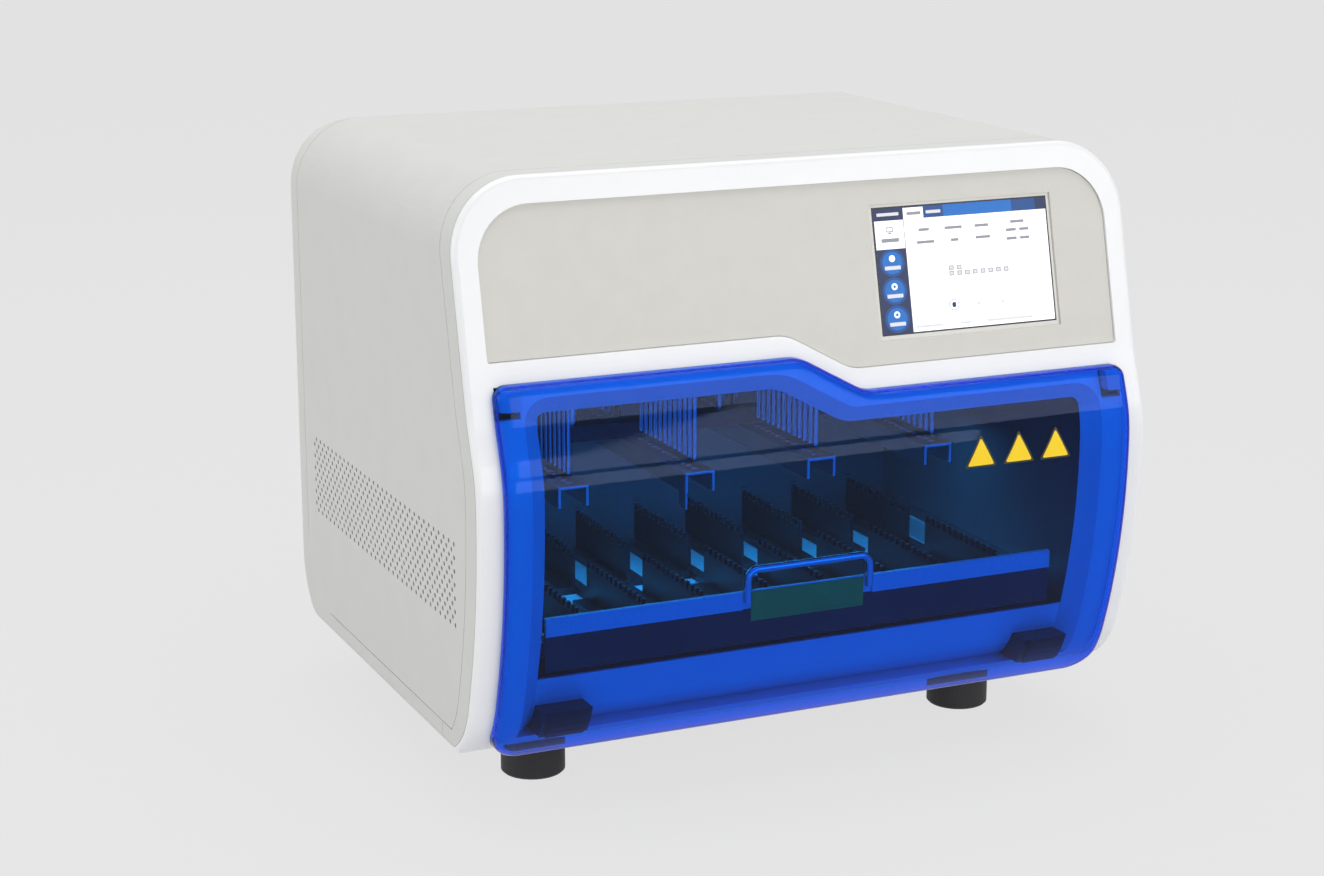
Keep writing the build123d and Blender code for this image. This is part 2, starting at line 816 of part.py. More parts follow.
def rack(side):
    height = rack_top - tray_low - tray_wall
    inner = rack_offset - rack_wall / 2
    web = span(side, inner, inner + rack_wall, 0, bank_length, 0, height)
    foot = span(side, inner - rack_foot_width, inner, 0, bank_length, 0, rack_foot_height)
    notches = Sketch() + [Pos((i + 0.5) * well_pitch, height) * Rectangle(notch_width, 2 * notch_depth)
                          for i in range(strips_in_bank)]
    return web + foot - along_x(notches)


def make_heater_bars():
    """Heated bars under the first and the last well of every strip."""
    low = tray_low + tray_wall
    bars = []
    for x in module_xs:
        for side in (-1, 1):
            middle = x + side * (end_well + 2)
            bars.append(block_at(middle, heater_width, bank_front, tray_back - 4, low, low + heater_height))
    return bars


def slide_low():
    return tray_low + tray_wall + 1


def make_tray_slides_moving():
    z = slide_low()
    y = tray_back - slide_length
    return [span(side, tray_half, tray_half + slide_thick, y, tray_back, z + 2, z + slide_height - 2)
            for side in (-1, 1)]


def make_tray_slides_fixed():
    """Outer members on brackets from the chamber walls, wrapped round the moving ones."""
    z = slide_low()
    y = tray_back - slide_length
    face = tray_half + slide_thick + slide_gap
    outer = plate_inner - liner_wall
    slides = []
    for side in (-1, 1):
        channel = span(side, tray_half + slide_gap, outer, y, tray_back, z, z + slide_height)
        channel -= span(side, tray_half, face, y - 1, tray_back + 1, z + 2 - slide_gap,
                        z + slide_height - 2 + slide_gap)
        slides.append(channel)
    return slides


# ---------------------------------------------------------------- head pieces
def make_x_guide_shafts():
    return [rod_x(y, shaft_z, shaft_radius, -plate_inner, plate_inner) for y in (front_shaft_y, rear_shaft_y)]


def make_shaft_blocks():
    blocks = []
    for side in (-1, 1):
        for y in (front_shaft_y, rear_shaft_y):
            foot = span(side, plate_inner - shaft_block, plate_inner, y - block_half, y + block_half,
                        shaft_z - block_half, shaft_z + block_half)
            blocks.append(foot - rod_x(y, shaft_z, shaft_radius, -LONG / 4, LONG / 4))
    return blocks


def make_x_screw():
    """Lead screw that drives the head sideways, with a coupling at the motor's end."""
    end = plate_inner + plate_wall
    return rod_x(screw_y, shaft_z, x_screw_radius, -end, end + 1)


def screw_plate_bore(solid):
    return solid - rod_x(screw_y, shaft_z, x_screw_radius + running_gap, -LONG / 4, LONG / 4)


def make_x_motor():
    start = plate_inner + plate_wall + 1
    half = motor_size / 2
    body = block(start, start + x_motor_length, screw_y - half, screw_y + half,
                 shaft_z - half, shaft_z + half)
    return chamfer(body.edges().filter_by(Axis.X), 4)


def make_carriage_plate():
    """Plate that travels sideways and carries both lifts."""
    plate = block(head_shift - head_half, head_shift + head_half, carriage_front, carriage_back,
                  carriage_low, carriage_low + carriage_wall)
    half = motor_size / 2 + motor_hole_gap
    plate -= block_at(head_shift + magnet_motor_x, 2 * half, beam_y - half, beam_y + half, 0, LONG)
    plate -= rod_z(head_shift + sleeve_motor_x, beam_y, lift_screw_radius + 1, 0, LONG)
    for x in guide_xs():
        plate -= rod_z(x, beam_y, bush_radius, 0, LONG)
    return plate


def guide_xs():
    return [head_shift - guide_offset, head_shift + guide_offset]


def make_carriage_bearings():
    blocks = []
    top = carriage_low + carriage_wall
    for x in (head_shift - bearing_offset, head_shift + bearing_offset):
        for y in (front_shaft_y, rear_shaft_y):
            body = block(x - bearing_length / 2, x + bearing_length / 2, y - bearing_width / 2,
                         y + bearing_width / 2, top, top + bearing_height)
            blocks.append(body - rod_x(y, shaft_z, shaft_radius + running_gap, -LONG / 4, LONG / 4))
    return blocks


def make_x_nut():
    top = carriage_low + carriage_wall
    body = block_at(head_shift, nut_width, screw_y - nut_width / 2, screw_y + nut_width / 2,
                    top, top + bearing_height)
    return body - rod_x(screw_y, shaft_z, x_screw_radius + running_gap, -LONG / 4, LONG / 4)


def z_motor(x, low):
    half = motor_size / 2
    body = block(x - half, x + half, beam_y - half, beam_y + half, low, low + z_motor_length)
    body = chamfer(body.edges().filter_by(Axis.Z), 4)
    return body - rod_z(x, beam_y, lift_screw_radius + running_gap, 0, LONG)


def make_sleeve_motor():
    return z_motor(head_shift + sleeve_motor_x, carriage_low + carriage_wall)


def make_sleeve_screw():
    top = carriage_low + carriage_wall + z_motor_length + sleeve_travel + 5
    low = rail_low + rail_height + beam_height
    return rod_z(head_shift + sleeve_motor_x, beam_y, lift_screw_radius, low, top)


def make_magnet_motor():
    return z_motor(head_shift + magnet_motor_x, magnet_plate_low + magnet_plate_wall)


def make_magnet_screw():
    top = magnet_plate_low + magnet_plate_wall + z_motor_length + 4
    low = rail_low + rail_height + beam_height
    return rod_z(head_shift + magnet_motor_x, beam_y, lift_screw_radius, low, top)


def make_lift_guides():
    """Guide rods fixed in the sleeve beam that run up through the magnet plate and the carriage."""
    top = carriage_low + carriage_wall + sleeve_travel + 15
    return [rod_z(x, beam_y, guide_radius, rail_low + rail_height + beam_height, top) for x in guide_xs()]


def bushes(low, wall):
    """Flanged bushes that run on the guide rods in one plate."""
    made = []
    for x in guide_xs():
        bush = rod_z(x, beam_y, bush_radius, low, low + wall) + rod_z(x, beam_y, bush_radius + 3,
                                                                    low + wall, low + wall + 3)
        made.append(bush - rod_z(x, beam_y, guide_radius + running_gap, 0, LONG))
    return made


def make_carriage_bushes():
    return bushes(carriage_low, carriage_wall)


def make_magnet_bushes():
    return bushes(magnet_plate_low, magnet_plate_wall)


def make_sleeve_beam():
    z = rail_low + rail_height
    return block(head_shift - head_half, head_shift + head_half, beam_y - beam_width / 2,
                 beam_y + beam_width / 2, z, z + beam_height)


def make_sleeve_rails():
    """Channels, open below, that hold the plastic sleeves; the magnet rods pass through their webs."""
    rails = []
    top = rail_low + rail_height
    for x in head_xs:
        rail = block_at(x, rail_width, rail_front, rail_back, rail_low, top)
        rail -= block_at(x, rail_width - 2 * rail_wall, rail_front - 1, rail_back + 1,
                         rail_low - 1, top - rail_wall)
        holes = Sketch() + [Pos(x, y) * Circle(rod_radius + rod_hole_gap) for y in rod_ys]
        rails.append(rail - extrude(holes, LONG))
    return rails


def make_home_flag():
    """Thin plate under one channel's side that trips the home sensor."""
    x = head_xs[1] - rail_width / 2
    return block(x, x + 1.5, rail_front, rail_front + 12, rail_low - 12, rail_low)


def make_magnet_plate():
    plate = block(head_shift - head_half, head_shift + head_half, carriage_front, rail_back,
                  magnet_plate_low, magnet_plate_low + magnet_plate_wall)
    plate -= rod_z(head_shift + sleeve_motor_x, beam_y, lift_screw_radius + 1, 0, LONG)
    plate -= rod_z(head_shift + magnet_motor_x, beam_y, lift_screw_radius + 1, 0, LONG)
    for x in guide_xs():
        plate -= rod_z(x, beam_y, bush_radius, 0, LONG)
    return plate


def make_magnet_rods():
    rods = []
    for x in head_xs:
        for y in rod_ys:
            rods.append(rod_z(x, y, rod_radius, rod_tip, magnet_plate_low))
    return rods


# ---------------------------------------------------------------- electrics and rear fittings
def make_power_supply():
    low = base_top
    left = supply_gap - plate_inner
    front = plate_back + supply_gap
    return block(left, left + supply_width, front, front + supply_depth, low, low + supply_height)


def make_control_board():
    """Circuit board on stand-offs behind the chamber, with its tallest parts as blocks."""
    y = plate_back + board_gap
    face = y + board_wall
    board = block(board_left, board_right, y, face, board_low, board_high)
    for x in (board_left + board_inset, board_right - board_inset):
        for z in (board_low + board_inset, board_high - board_inset):
            board += rod_y(x, z, board_inset / 3, plate_back - 2, y)
    board += block(board_left + 20, board_left + 60, face, face + 12, board_low + 20, board_low + 60)
    left, high = board_right - 90, board_high - 70
    return board + block(left, left + 40, face, face + 7, high - 40, high)


def make_fan_frame():
    back = body_depth - moulding_wall - rear_panel_wall
    frame = block_at(fan_x, fan_size, back - fan_thick, back, fan_z - fan_size / 2, fan_z + fan_size / 2)
    frame -= rod_y(fan_x, fan_z, fan_hole, 0, LONG)
    hub = rod_y(fan_x, fan_z, hub_of_fan - 2, back - fan_thick, back - fan_thick + 3)
    strut = block_at(fan_x, fan_size - 4, back - fan_thick, back - fan_thick + 3, fan_z - 2, fan_z + 2)
    post = block_at(fan_x, 4, back - fan_thick, back - fan_thick + 3, fan_z - fan_size / 2 + 2,
                    fan_z + fan_size / 2 - 2)
    pin = rod_y(fan_x, fan_z, 1.5, back - fan_thick, back - 6)
    return frame + hub + strut + post + pin


def make_fan_rotor():
    back = body_depth - moulding_wall - rear_panel_wall
    y0 = back - fan_thick + 4
    y1 = back - 3
    rotor = rod_y(fan_x, fan_z, hub_of_fan, y0, y1)
    blade = (Pos(fan_x, (y0 + y1) / 2, fan_z) * Rot(0, 0, 0)
             * Pos(0, 0, fan_hole / 2 + 2) * Rot(0, 0, 35) * Box(1.6, y1 - y0, fan_hole - 7))
    for i in range(fan_blades):
        rotor += Pos(fan_x, 0, fan_z) * Rot(0, i * 360 / fan_blades, 0) * Pos(-fan_x, 0, -fan_z) * blade
    return rotor - rod_y(fan_x, fan_z, 1.5 + running_gap, 0, back - 5.5)


def make_fan_guard():
    """Wire guard: rings on two crossed bars."""
    y = body_depth - moulding_wall
    guard = None
    for i in range(4):
        radius = fan_size / 2 - i * guard_pitch
        ring = rod_y(fan_x, fan_z, radius, y + 1, y + 3) - rod_y(fan_x, fan_z, radius - guard_wire, y, y + 4)
        guard = ring if guard is None else guard + ring
    for turn in (45, 135):
        guard += Pos(fan_x, y + 1, fan_z) * Rot(0, turn, 0) * Box(2 * fan_size * 0.64, 2, 2)
    return guard


def make_power_inlet():
    y = body_depth - moulding_wall
    inlet = block_at(inlet_x, 28, y - 22, y, inlet_z - 10, inlet_z + 10)
    inlet += block_at(inlet_x, 34, y, y + 1.5, inlet_z - 13, inlet_z + 13)
    inlet -= block_at(inlet_x, 24, y - 14, y + 5, inlet_z - 8, inlet_z + 8)
    for x, z in ((-7, -1), (7, -1), (0, 3)):
        inlet += block_at(inlet_x + x, 2, y - 14, y - 3, inlet_z + z - 2, inlet_z + z + 2)
    return inlet


def make_switch_frame():
    y = body_depth - moulding_wall
    frame = block_at(switch_x, 13, y - 16, y, inlet_z - 9.5, inlet_z + 9.5)
    frame += block_at(switch_x, 17, y, y + 1.5, inlet_z - 12, inlet_z + 12)
    frame -= block_at(switch_x, 10, y - 8, y + 5, inlet_z - 8, inlet_z + 8)
    pin = rocker_pin + running_gap
    return frame - rod_x(y - rocker_depth, inlet_z, pin, switch_x - 6, switch_x + 6)


def make_switch_rocker():
    """Rocker that tips about a cross pin."""
    y = body_depth - moulding_wall
    points = [(y - 5, -6.5), (y + 2.6, -6.5), (y + 1.1, 0), (y + 2.2, 6.5), (y - 5, 6.5)]
    profile = make_face(Polyline(*[(a, inlet_z + b) for a, b in points], close=True))
    rocker = Pos(switch_x, 0, 0) * along_x(profile, 4.7)
    return rocker + rod_x(y - rocker_depth, inlet_z, rocker_pin, switch_x - 5.8, switch_x + 5.8)


def make_data_ports():
    y = body_depth - moulding_wall
    ports = []
    for x, width, height in port_holes():
        shell = block_at(x, width, y - 15, y + 1, inlet_z - height / 2, inlet_z + height / 2)
        shell -= block_at(x, width - 1.6, y - 12, y + 5,
                          inlet_z - height / 2 + 0.8, inlet_z + height / 2 - 0.8)
        ports.append(shell)
    return ports


def casing_screw_places():
    x_far = rear_opening_half - screw_inset
    heights = (rear_opening_low + screw_inset, rear_opening_top - screw_inset)
    return [(x, z) for x in (-x_far, 0, x_far) for z in heights]


def casing_screw_holes():
    return Part() + [rod_y(x, z, screw_shank, LONG / 8, LONG / 4) for x, z in casing_screw_places()]


def make_casing_screws():
    """Pan-head screws that hold the rear panel to the tub's ledge."""
    y = body_depth - moulding_wall
    return [rod_y(x, z, screw_head, y, y + 1.8) + rod_y(x, z, screw_shank, y - 6, y)
            for x, z in casing_screw_places()]


def bored_side_plates():
    return [screw_plate_bore(plate) for plate in make_side_plates()]


pieces = {
    "wrap_cover": make_wrap_cover,
    "front_frame": make_front_frame,
    "front_bezel": make_front_bezel,
    "lower_tub": make_lower_tub,
    "base_plate": make_base_plate,
    "rear_panel": make_rear_panel,
    "rubber_feet": make_rubber_feet,
    "foot_screws": make_foot_screws,
    "control_panel": make_control_panel,
    "display_glass": make_display_glass,
    "display_module": make_display_module,
    "door_shell": make_door_shell,
    "door_hinge_blocks": make_door_hinge_blocks,
    "door_hinge_arms": make_door_hinge_arms,
    "door_strikes": make_door_strikes,
    "door_magnets": make_door_magnets,
    "hinge_pins": make_hinge_pins,
    "hinge_brackets": make_hinge_brackets,
    "side_plates": bored_side_plates,
    "chamber_liner": make_chamber_liner,
    "chamber_floor": make_chamber_floor,
    "uv_lamp_tube": make_uv_lamp_tube,
    "uv_lamp_holders": make_uv_lamp_holders,
    "tray_floor": make_tray_floor,
    "tray_front": make_tray_front,
    "tray_handle": make_tray_handle,
    "label_plate": make_label_plate,
    "well_racks": make_well_racks,
    "heater_bars": make_heater_bars,
    "tray_slides_moving": make_tray_slides_moving,
    "tray_slides_fixed": make_tray_slides_fixed,
    "x_guide_shafts": make_x_guide_shafts,
    "shaft_blocks": make_shaft_blocks,
    "x_screw": make_x_screw,
    "x_motor": make_x_motor,
    "carriage_plate": make_carriage_plate,
    "carriage_bearings": make_carriage_bearings,
    "carriage_bushes": make_carriage_bushes,
    "x_nut": make_x_nut,
    "sleeve_motor": make_sleeve_motor,
    "sleeve_screw": make_sleeve_screw,
    "sleeve_beam": make_sleeve_beam,
    "sleeve_rails": make_sleeve_rails,
    "home_flag": make_home_flag,
    "lift_guides": make_lift_guides,
    "magnet_plate": make_magnet_plate,
    "magnet_bushes": make_magnet_bushes,
    "magnet_motor": make_magnet_motor,
    "magnet_screw": make_magnet_screw,
    "magnet_rods": make_magnet_rods,
    "power_supply": make_power_supply,
    "control_board": make_control_board,
    "fan_frame": make_fan_frame,
    "fan_rotor": make_fan_rotor,
    "fan_guard": make_fan_guard,
    "power_inlet": make_power_inlet,
    "switch_frame": make_switch_frame,
    "switch_rocker": make_switch_rocker,
    "data_ports": make_data_ports,
    "casing_screws": make_casing_screws,
}

for name, make in pieces.items():
    made = make()
    solids = []
    for item in (made if isinstance(made, list) else [made]):
        solids += item.solids()
    node = Compound(children=[Pos(0, -origin_y, 0) * solid for solid in solids])
    export_step(node, f"parts/{name}.step")
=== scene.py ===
from math import atan, cos, pi, radians, sin, tan

import bmesh
import bpy
from mathutils import Matrix, Vector


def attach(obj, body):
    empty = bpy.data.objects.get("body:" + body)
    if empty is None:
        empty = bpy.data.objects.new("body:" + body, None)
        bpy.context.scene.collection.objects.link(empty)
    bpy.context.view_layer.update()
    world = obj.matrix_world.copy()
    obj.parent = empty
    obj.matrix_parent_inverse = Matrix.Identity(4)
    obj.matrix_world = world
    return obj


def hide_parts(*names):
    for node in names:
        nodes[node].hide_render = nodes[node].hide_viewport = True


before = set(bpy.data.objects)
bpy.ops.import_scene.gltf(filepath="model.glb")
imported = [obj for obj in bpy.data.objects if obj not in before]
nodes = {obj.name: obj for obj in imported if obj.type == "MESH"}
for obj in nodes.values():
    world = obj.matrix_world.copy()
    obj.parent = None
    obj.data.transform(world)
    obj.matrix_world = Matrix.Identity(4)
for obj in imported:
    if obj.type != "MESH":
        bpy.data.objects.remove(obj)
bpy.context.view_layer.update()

bpy.context.scene.view_settings.view_transform = "Standard"
bpy.ops.object.select_all(action="DESELECT")


# ---- Powder-coated covers
# The wrap-over cover is one bent steel sheet; the front frame and the rear tub are mouldings
# sprayed in the same warm grey, with the fine orange peel of a sprayed coat.
def new_material(name, colour, roughness, metallic=0.0, coat=0.0):
    """A named surface with its steady numbers set on the shader itself."""
    material = bpy.data.materials.new(name)
    material.use_nodes = True
    shader = material.node_tree.nodes["Principled BSDF"]
    shader.inputs["Base Color"].default_value = (*colour, 1)
    shader.inputs["Roughness"].default_value = roughness
    shader.inputs["Metallic"].default_value = metallic
    shader.inputs["Coat Weight"].default_value = coat
    return material, shader


def noise(material, scale, detail=3.0, stretch=(1, 1, 1)):
    """Noise that is fixed to the piece, drawn out along an axis where the finish has a grain."""
    tree = material.node_tree
    place = tree.nodes.new("ShaderNodeTexCoord")
    turn = tree.nodes.new("ShaderNodeMapping")
    turn.inputs["Scale"].default_value = stretch
    cloud = tree.nodes.new("ShaderNodeTexNoise")
    cloud.inputs["Scale"].default_value = scale
    cloud.inputs["Detail"].default_value = detail
    tree.links.new(place.outputs["Object"], turn.inputs["Vector"])
    tree.links.new(turn.outputs["Vector"], cloud.inputs["Vector"])
    return cloud


cloud_low, cloud_high = 0.3, 0.7                # the part of a noise's range that is used


def roughen(material, shader, cloud, low, high):
    """Roughness that wanders between two values."""
    tree = material.node_tree
    spread = tree.nodes.new("ShaderNodeMapRange")
    spread.inputs["From Min"].default_value = cloud_low
    spread.inputs["From Max"].default_value = cloud_high
    spread.inputs["To Min"].default_value = low
    spread.inputs["To Max"].default_value = high
    tree.links.new(cloud.outputs["Fac"], spread.inputs["Value"])
    tree.links.new(spread.outputs["Result"], shader.inputs["Roughness"])


def tint(material, shader, cloud, first, second):
    """Colour that drifts slightly from one shade to another."""
    tree = material.node_tree
    ramp = tree.nodes.new("ShaderNodeValToRGB")
    ramp.color_ramp.elements[0].position = cloud_low
    ramp.color_ramp.elements[1].position = cloud_high
    ramp.color_ramp.elements[0].color = (*first, 1)
    ramp.color_ramp.elements[1].color = (*second, 1)
    tree.links.new(cloud.outputs["Fac"], ramp.inputs["Fac"])
    tree.links.new(ramp.outputs["Color"], shader.inputs["Base Color"])


def bump(material, shader, cloud, strength, height):
    """Relief of a given height in metres, from the same noise as the sheen."""
    tree = material.node_tree
    relief = tree.nodes.new("ShaderNodeBump")
    relief.inputs["Strength"].default_value = strength
    relief.inputs["Distance"].default_value = height
    tree.links.new(cloud.outputs["Fac"], relief.inputs["Height"])
    tree.links.new(relief.outputs["Normal"], shader.inputs["Normal"])


def grained(name, first, second, rough, scale, height, metallic=0.0, coat=0.0, stretch=(1, 1, 1)):
    """A finish with drifting colour, uneven sheen and a fine relief."""
    material, shader = new_material(name, first, rough[0], metallic, coat)
    drift = noise(material, scale / 40, detail=2.0)
    grain = noise(material, scale, stretch=stretch)
    tint(material, shader, drift, first, second)
    roughen(material, shader, grain, *rough)
    bump(material, shader, grain, strength=0.35, height=height)
    return material


def paint(material, *names):
    """Gives nodes of the frame their finish."""
    for name in names:
        slots = nodes[name].data.materials
        slots.clear()
        slots.append(material)


cover_paint = grained("warm_grey_coat", (0.60, 0.605, 0.58), (0.615, 0.62, 0.595),
                      rough=(0.36, 0.44), scale=1400, height=0.00002)
paint(cover_paint, "wrap_cover", "front_frame", "lower_tub")

# ---- White face moulding
# Injection-moulded front bezel with a polished face, one step brighter than the covers. The
# flange of the front frame carries it.
white_moulding = grained("white_moulding", (0.82, 0.83, 0.845), (0.835, 0.845, 0.86),
                         rough=(0.20, 0.27), scale=900, height=0.00001, coat=0.15)
paint(white_moulding, "front_bezel")

# ---- Control panel
# Beige-grey plate set a little back in the bezel above the door, with a fine spark-eroded
# texture and a window for the display.
panel_finish = grained("beige_panel", (0.63, 0.615, 0.575), (0.645, 0.63, 0.59),
                       rough=(0.5, 0.58), scale=2200, height=0.00002)
paint(panel_finish, "control_panel")

# ---- Rubber feet
# Four black moulded rubber feet with a dull, slightly dusty surface, each held by a screw
# that passes up through it.
foot_rubber = grained("foot_rubber", (0.011, 0.011, 0.014), (0.02, 0.02, 0.023),
                      rough=(0.55, 0.7), scale=700, height=0.00005)
paint(foot_rubber, "rubber_feet")

# ---- Sheet metal, shafts and machined pieces
# Zinc-plated sheet and brackets, ground and polished steel shafts, machined aluminium anodised
# clear or black, and turned brass. All but the zinc have a fine grain.
zinc = grained("zinc_plate", (0.50, 0.51, 0.53), (0.56, 0.57, 0.585),
               rough=(0.26, 0.4), scale=260, height=0.00001, metallic=1.0)
ground_steel = grained("ground_steel", (0.62, 0.63, 0.65), (0.66, 0.67, 0.69),
                       rough=(0.12, 0.2), scale=900, height=0.000004, metallic=1.0,
                       stretch=(1, 1, 8))
anodised = grained("anodised_aluminium", (0.60, 0.61, 0.63), (0.64, 0.65, 0.67),
                   rough=(0.28, 0.4), scale=600, height=0.000008, metallic=1.0,
                   stretch=(1, 12, 12))
dark_anodised = grained("dark_anodised", (0.035, 0.036, 0.04), (0.05, 0.051, 0.056),
                        rough=(0.3, 0.42), scale=600, height=0.000008, metallic=0.6,
                        stretch=(1, 12, 12))
brass = grained("turned_brass", (0.56, 0.38, 0.14), (0.62, 0.43, 0.17),
                rough=(0.2, 0.3), scale=700, height=0.000006, metallic=1.0,
                stretch=(1, 1, 10))
paint(zinc, "base_plate", "chamber_floor", "rear_panel", "foot_screws", "side_plates",
      "tray_slides_moving", "tray_slides_fixed", "carriage_bearings", "home_flag",
      "power_supply", "data_ports", "casing_screws")
paint(ground_steel, "hinge_pins", "x_guide_shafts", "x_screw", "sleeve_screw", "lift_guides",
      "magnet_screw", "magnet_rods", "tray_handle", "fan_guard")
paint(anodised, "door_hinge_arms", "hinge_brackets", "shaft_blocks", "carriage_plate",
      "sleeve_rails")
paint(dark_anodised, "tray_front", "well_racks", "heater_bars", "sleeve_beam", "magnet_plate")
paint(brass, "carriage_bushes", "x_nut", "magnet_bushes")

# ---- Chamber lining
# Dark grey lacquered sheet, folded to make the left, back and right walls of the working
# space behind the door.
lining = grained("grey_lining", (0.13, 0.135, 0.15), (0.15, 0.155, 0.17),
                 rough=(0.3, 0.4), scale=300, height=0.00001, metallic=0.3)
paint(lining, "chamber_liner")

# ---- Tray pan, and a painted highlight on the tray front's fold
# Folded sheet pan in pale satin lacquer, seen between the black racks. The fold along the top of
# the tray's black front plate gets the same lacquer as a painted highlight for the light it
# catches.
pan_lacquer_and_fold_highlight = grained("pan_lacquer_and_fold_highlight", (0.70, 0.72, 0.76), (0.73, 0.75, 0.79),
                      rough=(0.25, 0.35), scale=300, height=0.00001)
paint(pan_lacquer_and_fold_highlight, "tray_floor")
fold_highlight_low = 0.1389               # everything on the front plate above this height is the fold, given a painted highlight
front_mesh = nodes["tray_front"].data
front_mesh.materials.append(pan_lacquer_and_fold_highlight)
# the fold's faces take the pale lacquer: a painted highlight on a plate that is black all over
for face in front_mesh.polygons:
    if min(front_mesh.vertices[corner].co.z for corner in face.vertices) > fold_highlight_low:
        face.material_index = 1

# ---- Moulded plastics and electrics
# Black and white engineering plastics, the motors' black paint, the board's green resist and
# the glass of the ultraviolet lamp.
black_plastic = grained("black_plastic", (0.012, 0.012, 0.014), (0.018, 0.018, 0.02),
                        rough=(0.32, 0.45), scale=1500, height=0.00002)
white_plastic = grained("white_plastic", (0.74, 0.74, 0.76), (0.77, 0.77, 0.79),
                        rough=(0.35, 0.45), scale=1500, height=0.00002)
motor_paint = grained("motor_paint", (0.02, 0.02, 0.023), (0.03, 0.03, 0.034),
                      rough=(0.35, 0.5), scale=800, height=0.00002)
board_resist = grained("board_resist", (0.006, 0.11, 0.045), (0.01, 0.14, 0.06),
                       rough=(0.25, 0.4), scale=400, height=0.00002)
lamp_glass = grained("lamp_glass", (0.72, 0.78, 0.88), (0.76, 0.82, 0.92),
                     rough=(0.1, 0.16), scale=200, height=0.000002, coat=0.5)
paint(black_plastic, "door_magnets", "door_strikes", "display_module", "fan_frame", "fan_rotor",
      "power_inlet", "switch_frame", "switch_rocker")
paint(white_plastic, "door_hinge_blocks", "uv_lamp_holders")
paint(motor_paint, "x_motor", "sleeve_motor", "magnet_motor")
paint(board_resist, "control_board")
paint(lamp_glass, "uv_lamp_tube")

# ---- Blank identification plate
# Thin plate in pale yellow-green on the tray's front, under the handle, with its face
# left bare.
plate_finish = grained("pale_plate", (0.46, 0.47, 0.04), (0.50, 0.51, 0.05),
                       rough=(0.3, 0.4), scale=900, height=0.00001)
paint(plate_finish, "label_plate")

# ---- Display
# Touch glass printed pale round its edge, with the lit picture just under its surface:
# a dark blue side bar of four tiles, a top bar, and a white page of plain bars and squares.
glass_finish = grained("display_glass", (0.55, 0.54, 0.50), (0.56, 0.55, 0.51),
                       rough=(0.12, 0.18), scale=300, height=0.000002, coat=0.6)
paint(glass_finish, "display_glass")

origin_y = 0.2095               # from the body's front line to the frame's middle
lean_foot_y, lean_foot_z = 0.0163, 0.309        # lower end of the leaning front
lean_top_y, lean_top_z = 0.056, 0.475           # its upper end; y runs from the front line
lean = atan((lean_top_y - lean_foot_y) / (lean_top_z - lean_foot_z))
screen_left = 0.0577
screen_low = 0.3414
screen_width = 0.1508
screen_rise = 0.0916            # its upright height; along the lean it is longer
screen_height = screen_rise / cos(lean)
screen_x = screen_left + screen_width / 2
screen_z = screen_low + screen_rise / 2
screen_face = 0.00125           # the glass in front of the leaning front's line
ink = 0.00002                   # step between one layer of the picture and the next


def glow(name, colour, strength):
    """A lit area of the picture."""
    material, shader = new_material(name, colour, 0.25)
    shader.inputs["Emission Color"].default_value = (*colour, 1)
    shader.inputs["Emission Strength"].default_value = strength
    shader.inputs["Specular IOR Level"].default_value = 0.3
    return material


picture_white = glow("picture_white", (0.93, 0.93, 0.95), 0.35)
picture_navy = glow("picture_navy", (0.006, 0.018, 0.075), 0.4)
picture_blue = glow("picture_blue", (0.0, 0.115, 0.42), 0.4)
picture_mid = glow("picture_mid", (0.003, 0.05, 0.2), 0.4)
picture_grey = glow("picture_grey", (0.24, 0.24, 0.28), 0.3)
picture_pale = glow("picture_pale", (0.60, 0.60, 0.64), 0.3)
picture_line = glow("picture_line", (0.02, 0.02, 0.03), 0.1)


def on_screen(across, up, layer):
    """A point of the picture, from fractions of its width and height."""
    rise = (up - 0.5) * screen_height
    middle_y = lean_foot_y + (screen_z - lean_foot_z) * tan(lean) - origin_y
    forward = screen_face + layer * ink
    return Vector((screen_x + (across - 0.5) * screen_width,
                   middle_y + rise * sin(lean) - forward * cos(lean),
                   screen_z + rise * cos(lean) + forward * sin(lean)))


picture_parts = []


def tile(left, right, low, top, material, layer, rounding=0.0):
    """One flat area of the picture with optional round corners."""
    bpy.ops.mesh.primitive_plane_add(size=1)
    patch = bpy.context.object
    patch.scale = ((right - left) * screen_width, (top - low) * screen_height, 1)
    bpy.ops.object.transform_apply(location=False, rotation=False, scale=True)
    if rounding:
        bpy.ops.object.mode_set(mode="EDIT")
        bpy.ops.mesh.select_all(action="SELECT")
        bpy.ops.mesh.bevel(offset=rounding, segments=5, affect="VERTICES")
        bpy.ops.object.mode_set(mode="OBJECT")
    patch.rotation_euler = (pi / 2 - lean, 0, 0)
    patch.location = on_screen((left + right) / 2, (low + top) / 2, layer)
    patch.data.materials.append(material)
    bpy.ops.object.transform_apply()
    picture_parts.append(patch)


def disc(across, up, radius, material, layer=4):
    """A round area of the picture: a square whose corners are rounded almost to its middle."""
    reach_x = radius / screen_width
    reach_y = radius / screen_height
    tile(across - reach_x, across + reach_x, up - reach_y, up + reach_y, material, layer,
         rounding=radius * 0.98)


# the page, its dark outline, and the top bar, which brightens towards its middle
bar_low = 0.905
tile(-0.008, 1.008, -0.013, 1.013, picture_line, 1)
tile(0, 1, 0, 1, picture_white, 2)
tile(0, 1, bar_low, 1, picture_navy, 3)
for i in range(8):
    spread = 0.34 - 0.035 * i
    shade = picture_mid if i < 4 else picture_blue
    tile(0.60 - spread, 0.60 + spread, bar_low + 0.002, 1, shade, 3 + 0.2 * (i + 1))
tile(0.17, 0.285, bar_low, 0.995, picture_white, 6)

